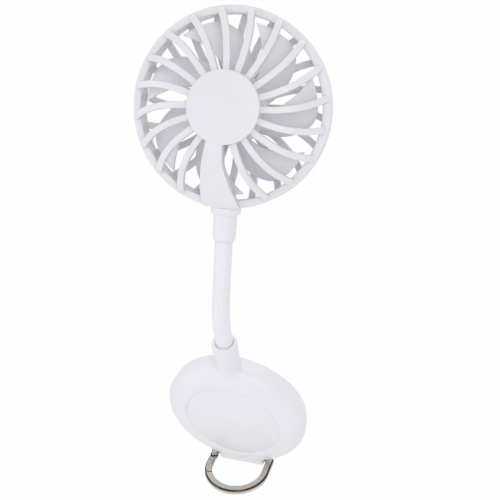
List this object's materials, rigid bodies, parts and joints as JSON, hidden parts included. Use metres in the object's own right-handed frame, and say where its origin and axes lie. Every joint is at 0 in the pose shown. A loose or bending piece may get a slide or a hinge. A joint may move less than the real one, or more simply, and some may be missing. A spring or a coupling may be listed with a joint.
{
  "type": "portable magnetic fan",
  "caption": "Small white fan: a caged bladed head on a bendy neck over a round magnetic puck, with a metal snap ring below that props or hangs it.",
  "frame": {"origin": "centre of the puck's flat magnetic face, which rests on what the fan is put on", "axes": "+Y out of the magnetic face, away from the fan's front; +Z toward the neck socket; +X to the right seen from the front"},
  "size_m": [0.0787, 0.1037, 0.1929],
  "materials": {
    "housing": "satin white moulded plastic",
    "cage": "satin white moulded plastic",
    "rotor": "matt pale grey-white moulded plastic",
    "sleeve": "smooth white soft rubber",
    "pad": "soft white silicone",
    "button": "satin white plastic",
    "nickel": "warm nickel plating",
    "steel": "plain steel",
    "magnet": "nickel-plated magnets on steel",
    "cell": "foil pouch",
    "board": "green lacquer",
    "black_plastic": "black moulded plastic",
    "light": "cloudy light pipe"
  },
  "bodies": {
    "base": {"base_front_cover": "housing", "base_back_plate": "housing", "contact_pad": "pad", "front_inlay": "housing", "cover_screw_0": "steel", "cover_screw_1": "steel", "cover_screw_2": "steel", "cover_screw_3": "steel", "magnet_ring": "magnet", "battery_cell": "cell", "circuit_board": "board", "usb_port": "steel", "button_switch": "black_plastic", "status_light": "light", "neck_anchor": "steel", "neck_sleeve_0": "sleeve", "neck_core_0": "steel"},
    "power_button": {"power_button": "button"},
    "stand_ring": {"stand_ring": "nickel", "gate_pin": "steel"},
    "ring_gate": {"ring_gate": "nickel"},
    "neck_1": {"neck_sleeve_1": "sleeve", "neck_core_1": "steel"},
    "neck_2": {"neck_sleeve_2": "sleeve", "neck_core_2": "steel"},
    "neck_3": {"neck_sleeve_3": "sleeve", "neck_core_3": "steel"},
    "neck_4": {"neck_sleeve_4": "sleeve", "neck_core_4": "steel"},
    "neck_5": {"neck_sleeve_5": "sleeve", "neck_core_5": "steel"},
    "neck_6": {"neck_sleeve_6": "sleeve", "neck_core_6": "steel"},
    "fan_head": {"neck_sleeve_7": "sleeve", "neck_core_7": "steel", "neck_ferrule": "housing", "clamp_screw": "steel", "rear_grille": "cage", "spine_cover": "cage", "front_grille": "cage", "front_cap": "cage", "rim_peg_0": "cage", "rim_peg_1": "cage", "rim_peg_2": "cage", "motor_can": "steel", "motor_lead": "black_plastic"},
    "impeller": {"impeller": "rotor", "motor_shaft": "steel"}
  },
  "joints": [
    {"name": "button_press", "type": "slide", "parent": "base", "child": "power_button", "axis": [0.7431, 0, 0.6691], "range_m": [0, 0.0004], "stiffness_N_per_m": 1500, "springref_m": -0.0003},
    {"name": "ring_swing", "type": "hinge", "parent": "base", "child": "stand_ring", "pos_m": [-0.0004, -0.0078, -0.0319], "axis": [1, 0, 0], "range_deg": [-20, 100]},
    {"name": "gate_swing", "type": "hinge", "parent": "stand_ring", "child": "ring_gate", "pos_m": [-0.01351, -0.01125, -0.03129], "axis": [0, 0.1736, 0.9848], "range_deg": [0, 28], "stiffness_Nm_per_rad": 0.002, "springref_deg": -22.92},
    {"name": "neck_bend_1", "type": "hinge", "parent": "base", "child": "neck_1", "pos_m": [-0.00004, -0.00766, 0.04939], "axis": [1, 0, 0], "range_deg": [-13.5, 31.5], "deforming": ["neck_sleeve_0", "neck_sleeve_1"]},
    {"name": "neck_sway_2", "type": "hinge", "parent": "neck_1", "child": "neck_2", "pos_m": [-0.00032, -0.00674, 0.05547], "axis": [0, 0.9576, -0.2881], "range_deg": [-20, 20], "deforming": ["neck_sleeve_2"]},
    {"name": "neck_bend_3", "type": "hinge", "parent": "neck_2", "child": "neck_3", "pos_m": [-0.00083, -0.00401, 0.06096], "axis": [1, 0, 0], "range_deg": [-13.5, 31.5], "deforming": ["neck_sleeve_3"]},
    {"name": "neck_sway_4", "type": "hinge", "parent": "neck_3", "child": "neck_4", "pos_m": [-0.00148, 0.00018, 0.06543], "axis": [0, 0.6617, -0.7497], "range_deg": [-20, 20], "deforming": ["neck_sleeve_4"]},
    {"name": "neck_bend_5", "type": "hinge", "parent": "neck_4", "child": "neck_5", "pos_m": [-0.00215, 0.00483, 0.06946], "axis": [1, 0, 0], "range_deg": [-13.5, 31.5], "deforming": ["neck_sleeve_5"]},
    {"name": "neck_sway_6", "type": "hinge", "parent": "neck_5", "child": "neck_6", "pos_m": [-0.00272, 0.00915, 0.07383], "axis": [0, 0.7497, -0.6618], "range_deg": [-20, 20], "deforming": ["neck_sleeve_6"]},
    {"name": "neck_bend_7", "type": "hinge", "parent": "neck_6", "child": "fan_head", "pos_m": [-0.00311, 0.013, 0.07865], "axis": [1, 0, 0], "range_deg": [-13.5, 31.5], "deforming": ["neck_sleeve_7"]},
    {"name": "impeller_spin", "type": "hinge", "parent": "fan_head", "child": "impeller", "pos_m": [-0.00444, 0.04551, 0.12384], "axis": [-0.0948, 0.8069, -0.583], "continuous": true}
  ],
  "couplings": [
    {"joint": "neck_bend_3", "follows": "neck_bend_1", "ratio": 1},
    {"joint": "neck_sway_4", "follows": "neck_sway_2", "ratio": 1},
    {"joint": "neck_bend_5", "follows": "neck_bend_1", "ratio": 1},
    {"joint": "neck_sway_6", "follows": "neck_sway_2", "ratio": 1},
    {"joint": "neck_bend_7", "follows": "neck_bend_1", "ratio": 1}
  ]
}
